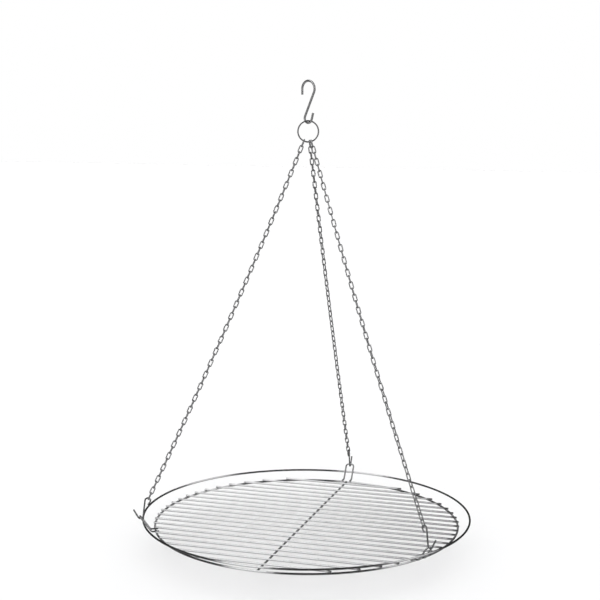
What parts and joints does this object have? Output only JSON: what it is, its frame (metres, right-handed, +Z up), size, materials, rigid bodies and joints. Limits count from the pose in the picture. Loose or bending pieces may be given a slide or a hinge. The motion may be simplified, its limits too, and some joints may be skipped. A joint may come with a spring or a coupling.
{
  "type": "hanging campfire grill grate",
  "caption": "Round chromed wire cooking grate with a raised rim, hung by chains from a ring and an S-hook, for use under a fire tripod.",
  "frame": {"origin": "The point where the top S-hook bears on its support, at the underside of its upper bend, on the grate's vertical centre line.", "axes": "+Z up along the pull of the hanging load, +X along the cooking bars, +Y along the cross bar towards the back bail."},
  "size_m": [0.5029, 0.5177, 0.6749],
  "materials": {
    "hook_chrome": "bright nickel-chrome plate on bent steel wire, cut ends slightly dull",
    "ring_chrome": "bright nickel-chrome plate on a welded steel ring",
    "chain_chrome": "bright chrome plate on welded steel chain, dull in the link ends",
    "grate_chrome": "bright chrome plate on welded steel wire, fine drawing lines, dull round the welds"
  },
  "bodies": {
    "top_hook": {"top_hook": "hook_chrome"},
    "ring": {"top_ring": "ring_chrome"},
    "chain_set": {"top_link_left": "chain_chrome", "chain_left": "chain_chrome", "end_link_left": "chain_chrome", "top_link_back": "chain_chrome", "chain_back": "chain_chrome", "end_link_back": "chain_chrome", "top_link_right": "chain_chrome", "chain_right": "chain_chrome", "end_link_right": "chain_chrome"},
    "hook_left": {"hook_left": "hook_chrome"},
    "hook_back": {"hook_back": "hook_chrome"},
    "hook_right": {"hook_right": "hook_chrome"},
    "grate": {"rim_ring": "grate_chrome", "base_ring": "grate_chrome", "cross_bar": "grate_chrome", "bail_left": "grate_chrome", "bail_back": "grate_chrome", "bail_right": "grate_chrome", "grate_bar_01": "grate_chrome", "grate_bar_02": "grate_chrome", "grate_bar_03": "grate_chrome", "grate_bar_04": "grate_chrome", "grate_bar_05": "grate_chrome", "grate_bar_06": "grate_chrome", "grate_bar_07": "grate_chrome", "grate_bar_08": "grate_chrome", "grate_bar_09": "grate_chrome", "grate_bar_10": "grate_chrome", "grate_bar_11": "grate_chrome", "grate_bar_12": "grate_chrome", "grate_bar_13": "grate_chrome", "grate_bar_14": "grate_chrome", "grate_bar_15": "grate_chrome", "grate_bar_16": "grate_chrome", "grate_bar_17": "grate_chrome", "grate_bar_18": "grate_chrome", "grate_bar_19": "grate_chrome", "grate_bar_20": "grate_chrome", "grate_bar_21": "grate_chrome"}
  },
  "joints": [
    {"name": "front_swing", "type": "hinge", "parent": "top_hook", "child": "ring", "pos_m": [0, 0, -0.05675], "axis": [0.8746, 0.4848, 0], "range_deg": [-30, 30]},
    {"name": "side_swing", "type": "hinge", "parent": "ring", "child": "chain_set", "pos_m": [0, 0, -0.07225], "axis": [0.4848, -0.8746, 0], "range_deg": [-25, 25]},
    {"name": "hook_left_play", "type": "hinge", "parent": "chain_set", "child": "hook_left", "pos_m": [-0.2106, -0.12159, -0.61941], "axis": [-0.5, 0.866, 0], "range_deg": [-1.5, 1.5]},
    {"name": "hook_back_play", "type": "hinge", "parent": "chain_set", "child": "hook_back", "pos_m": [0, 0.24296, -0.61952], "axis": [1, 0, 0], "range_deg": [-1.5, 1.5]},
    {"name": "hook_right_play", "type": "hinge", "parent": "chain_set", "child": "hook_right", "pos_m": [0.21046, -0.12151, -0.61949], "axis": [-0.5, -0.866, 0], "range_deg": [-1.5, 1.5]},
    {"name": "grate_lift", "type": "slide", "parent": "chain_set", "child": "grate", "axis": [0, 0, 1], "range_m": [0, 0.007]}
  ]
}
